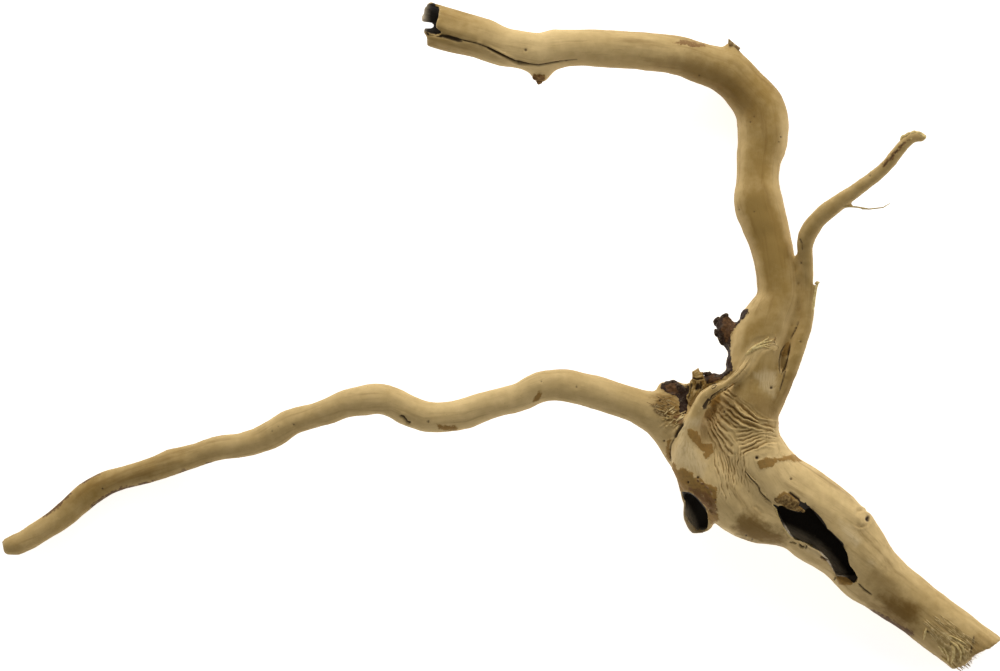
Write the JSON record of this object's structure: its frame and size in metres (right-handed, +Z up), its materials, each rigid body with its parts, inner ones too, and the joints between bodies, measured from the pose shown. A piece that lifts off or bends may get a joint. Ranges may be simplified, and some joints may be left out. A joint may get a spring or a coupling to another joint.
{
  "type": "driftwood branch",
  "caption": "Bark-free driftwood root crown with a hollow broken trunk, one arching limb, one long thin limb and a twig; lies on a surface.",
  "frame": {"origin": "centre of the piece's bounding box in plan, on the surface it lies on", "axes": "+X along the longest extent, towards the broken trunk end; +Y towards the arching limb; +Z up from the surface"},
  "size_m": [0.4018, 0.2675, 0.0497],
  "materials": {
    "wood": "sun-dried, matt"
  },
  "bodies": {
    "root": {"driftwood": "wood"}
  },
  "joints": []
}
